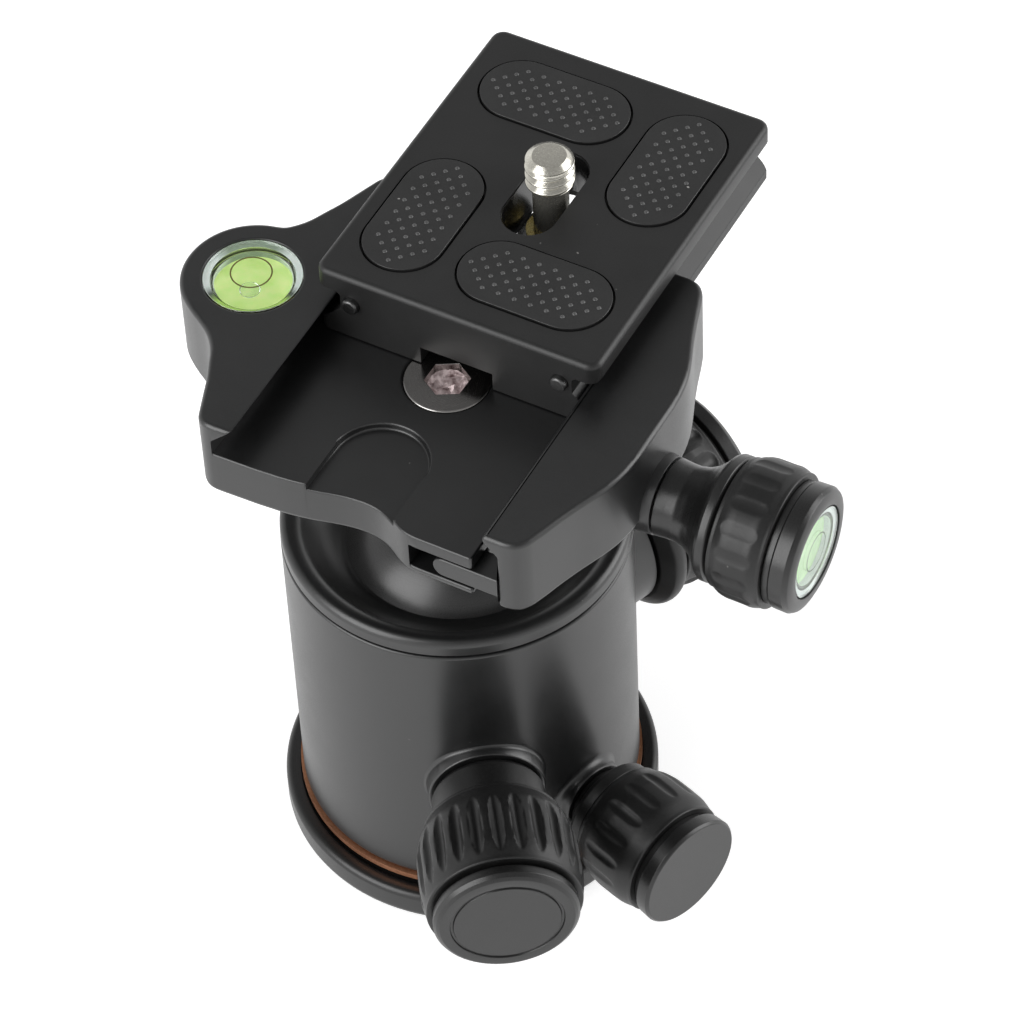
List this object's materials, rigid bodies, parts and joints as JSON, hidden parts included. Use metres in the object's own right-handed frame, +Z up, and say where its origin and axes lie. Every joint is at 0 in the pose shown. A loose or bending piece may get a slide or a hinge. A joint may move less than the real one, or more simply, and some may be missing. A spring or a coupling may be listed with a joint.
{
  "type": "tripod ball head",
  "caption": "Black ball head: panning base, ball housing with three side knobs, stem and a screw-closed quick-release clamp with round levels, holding a sliding camera plate.",
  "frame": {"origin": "centre of the flat underside of the base, on the axis of the tripod thread", "axes": "+Z up along the panning and stem axis; +X across the plate channel towards the clamp's knob; +Y along the plate channel towards the end where the plate sticks out"},
  "size_m": [0.0869, 0.0903, 0.0945],
  "materials": {
    "black_metal": "satin black anodised aluminium",
    "dark_trim": "satin black anodised aluminium",
    "knob_rubber": "matte black moulded grip",
    "pad_rubber": "studded black rubber",
    "copper": "bright copper-coloured washer",
    "steel": "bright plated steel",
    "zinc": "polished nickel-plated steel",
    "insert_steel": "turned stainless steel",
    "ball_metal": "smooth dark anodised aluminium",
    "cup_plastic": "white low-friction plastic",
    "pad_brass": "brass pressure pad",
    "vial_clear": "clear moulded vial",
    "fluid_green": "green-yellow spirit fluid"
  },
  "bodies": {
    "base": {"base_plate": "black_metal", "thread_insert": "insert_steel", "friction_washer": "copper", "keeper_plate": "steel", "keeper_screws": "steel"},
    "housing": {"housing": "black_metal", "top_ring": "dark_trim", "ball_cup": "cup_plastic", "cup_springs": "steel", "main_pad": "cup_plastic", "pan_pad": "pad_brass"},
    "main_knob": {"main_stud": "steel", "main_grip": "knob_rubber", "main_cap": "dark_trim"},
    "drag_knob": {"drag_stud": "steel", "drag_grip": "knob_rubber", "drag_cap": "dark_trim"},
    "pan_knob": {"pan_stud": "steel", "pan_grip": "knob_rubber", "pan_cap": "dark_trim"},
    "ball": {"ball": "ball_metal"},
    "clamp": {"stem": "dark_trim", "clamp_body": "black_metal", "fixing_screw": "zinc", "level_vial": "vial_clear", "level_fluid": "fluid_green", "jaw_springs": "steel"},
    "jaw": {"jaw": "black_metal"},
    "clamp_knob": {"clamp_screw": "steel", "clamp_hub": "dark_trim", "clamp_grip": "knob_rubber", "clamp_cap": "dark_trim", "knob_vial": "vial_clear", "knob_fluid": "fluid_green"},
    "plate": {"plate": "black_metal", "plate_pads": "pad_rubber", "stop_pins": "steel"},
    "screw_slide": {"slide_washer": "steel"},
    "camera_screw": {"camera_screw": "zinc", "screw_clip": "steel"}
  },
  "joints": [
    {"name": "pan", "type": "hinge", "parent": "base", "child": "housing", "pos_m": [0, 0, 0.012], "axis": [0, 0, 1], "continuous": true},
    {"name": "main_lock", "type": "hinge", "parent": "housing", "child": "main_knob", "pos_m": [0, 0, 0.0325], "axis": [0.3584, 0.9336, 0], "range_deg": [0, 540]},
    {"name": "friction_set", "type": "hinge", "parent": "housing", "child": "drag_knob", "pos_m": [0, 0, 0.0262], "axis": [0.5793, -0.8151, 0], "range_deg": [-360, 720]},
    {"name": "pan_lock", "type": "hinge", "parent": "housing", "child": "pan_knob", "pos_m": [0, 0, 0.0166], "axis": [0.9511, -0.309, 0], "range_deg": [0, 720]},
    {"name": "tilt", "type": "hinge", "parent": "housing", "child": "ball", "pos_m": [0, 0, 0.0382], "axis": [0.4226, 0.9063, 0], "range_deg": [-66, 23]},
    {"name": "swivel", "type": "hinge", "parent": "ball", "child": "clamp", "pos_m": [0, 0, 0.06], "axis": [0, 0, 1], "continuous": true},
    {"name": "jaw_slide", "type": "slide", "parent": "clamp", "child": "jaw", "axis": [1, 0, 0], "range_m": [-0.0014, 0.003]},
    {"name": "clamp_turn", "type": "hinge", "parent": "jaw", "child": "clamp_knob", "pos_m": [0.03, 0, 0.0717], "axis": [1, 0, 0], "range_deg": [-630, 1350]},
    {"name": "plate_slide", "type": "slide", "parent": "jaw", "child": "plate", "axis": [0, 1, 0], "range_m": [-0.0245, 0.01]},
    {"name": "screw_slot", "type": "slide", "parent": "plate", "child": "screw_slide", "axis": [0, 1, 0], "range_m": [-0.0049, 0.0032]},
    {"name": "screw_turn", "type": "hinge", "parent": "screw_slide", "child": "camera_screw", "pos_m": [0.0012, 0.0253, 0.082], "axis": [0, 0, 1], "continuous": true}
  ],
  "couplings": [
    {"joint": "clamp_turn", "follows": "jaw_slide", "rad_per_m": 7854}
  ]
}
